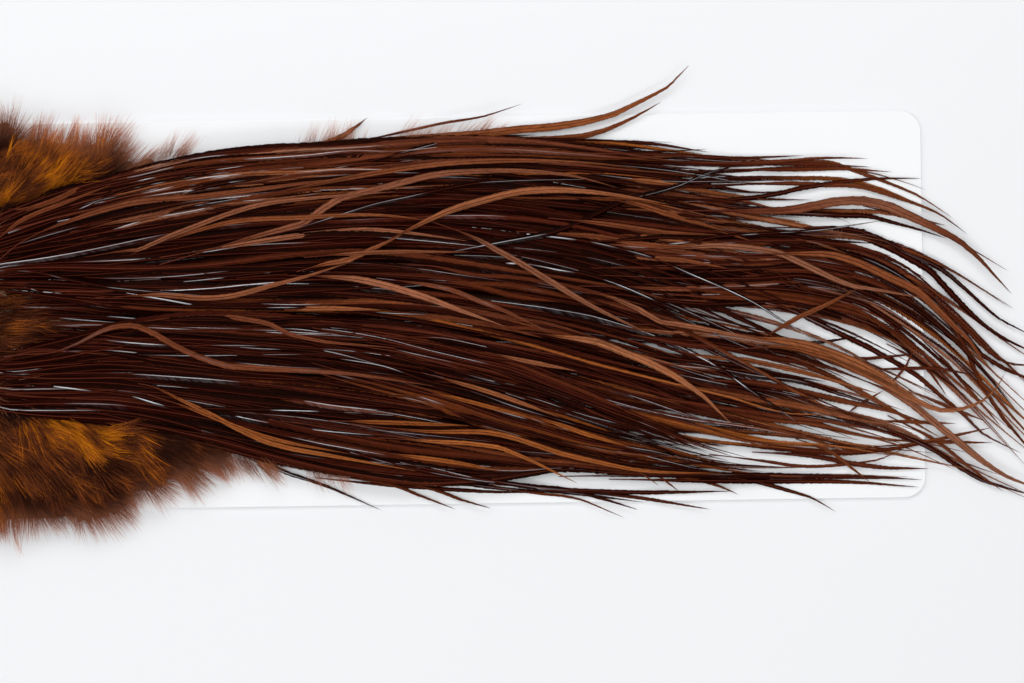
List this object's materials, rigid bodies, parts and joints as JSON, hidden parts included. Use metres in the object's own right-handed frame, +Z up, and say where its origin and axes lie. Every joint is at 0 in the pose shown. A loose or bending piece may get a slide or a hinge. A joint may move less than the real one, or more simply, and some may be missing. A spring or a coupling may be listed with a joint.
{
  "type": "rooster saddle hackle",
  "caption": "Dried patch of rooster skin with long slim mahogany hackles, webby golden side plumes and short front feathers, lying flat on a thin white backing card.",
  "frame": {"origin": "centre of the backing card's underside, on the surface it lies on", "axes": "+X along the hackles from the skin to their tips, +Y across them, +Z up from the card's face"},
  "size_m": [0.3414, 0.1302, 0.0123],
  "materials": {
    "card": "smooth white sheet",
    "hide": "dried, slightly waxy",
    "mahogany_hackle": "glossy dark mahogany barbs",
    "ginger_hackle": "matte cinnamon underside",
    "plume": "soft webby down, golden inside and dark outside",
    "front_feather": "soft, short barbs"
  },
  "bodies": {
    "root": {"backing_card": "card", "skin": "hide", "hackles_upper_layer1_1": "mahogany_hackle", "hackles_upper_layer1_2": "mahogany_hackle", "hackles_upper_layer1_3": "mahogany_hackle", "hackles_upper_layer1_4": "mahogany_hackle", "hackles_upper_layer1_5": "mahogany_hackle", "hackles_upper_layer1_6": "mahogany_hackle", "hackles_upper_layer1_7": "mahogany_hackle", "hackles_lower_layer1_1": "mahogany_hackle", "hackles_lower_layer1_2": "mahogany_hackle", "hackles_lower_layer1_3": "mahogany_hackle", "hackles_lower_layer1_4": "mahogany_hackle", "hackles_lower_layer1_5": "mahogany_hackle", "hackles_upper_layer2_1": "mahogany_hackle", "hackles_upper_layer2_2": "mahogany_hackle", "hackles_upper_layer2_3": "mahogany_hackle", "hackles_upper_layer2_4": "mahogany_hackle", "hackles_upper_layer2_5": "mahogany_hackle", "hackles_upper_layer2_6": "mahogany_hackle", "hackles_lower_layer2_1": "mahogany_hackle", "hackles_lower_layer2_2": "mahogany_hackle", "hackles_lower_layer2_3": "mahogany_hackle", "hackles_lower_layer2_4": "mahogany_hackle", "hackles_upper_layer3_1": "mahogany_hackle", "hackles_upper_layer3_2": "mahogany_hackle", "hackles_upper_layer3_3": "mahogany_hackle", "hackles_upper_layer3_4": "mahogany_hackle", "hackles_upper_layer3_5": "mahogany_hackle", "hackles_upper_layer3_6": "mahogany_hackle", "hackles_lower_layer3_1": "mahogany_hackle", "hackles_lower_layer3_2": "mahogany_hackle", "hackles_lower_layer3_3": "mahogany_hackle", "hackles_lower_layer3_4": "mahogany_hackle", "hackle_upper_stray": "ginger_hackle", "hackle_upper_short_stray": "ginger_hackle", "hackle_rising_ribbon": "ginger_hackle", "hackle_second_ribbon": "ginger_hackle", "hackle_slanting_ribbon": "ginger_hackle", "hackle_wavy_ribbon": "ginger_hackle", "hackle_lower_ribbon": "ginger_hackle", "hackle_lower_stray": "ginger_hackle", "hackle_lower_near_stray": "ginger_hackle", "hackle_lower_middle_stray": "ginger_hackle", "hackle_lower_far_stray": "ginger_hackle", "hackle_tip_ribbon": "ginger_hackle", "side_plume_upper_1": "plume", "side_plume_upper_2": "plume", "side_plume_upper_3": "plume", "side_plume_upper_4": "plume", "side_plume_lower_1": "plume", "side_plume_lower_2": "plume", "side_plume_lower_3": "plume", "side_plume_lower_4": "plume", "side_plume_lower_5": "plume", "front_feather_1": "front_feather", "front_feather_2": "front_feather", "front_feather_3": "front_feather", "front_feather_4": "front_feather", "front_feather_5": "front_feather"}
  },
  "joints": []
}
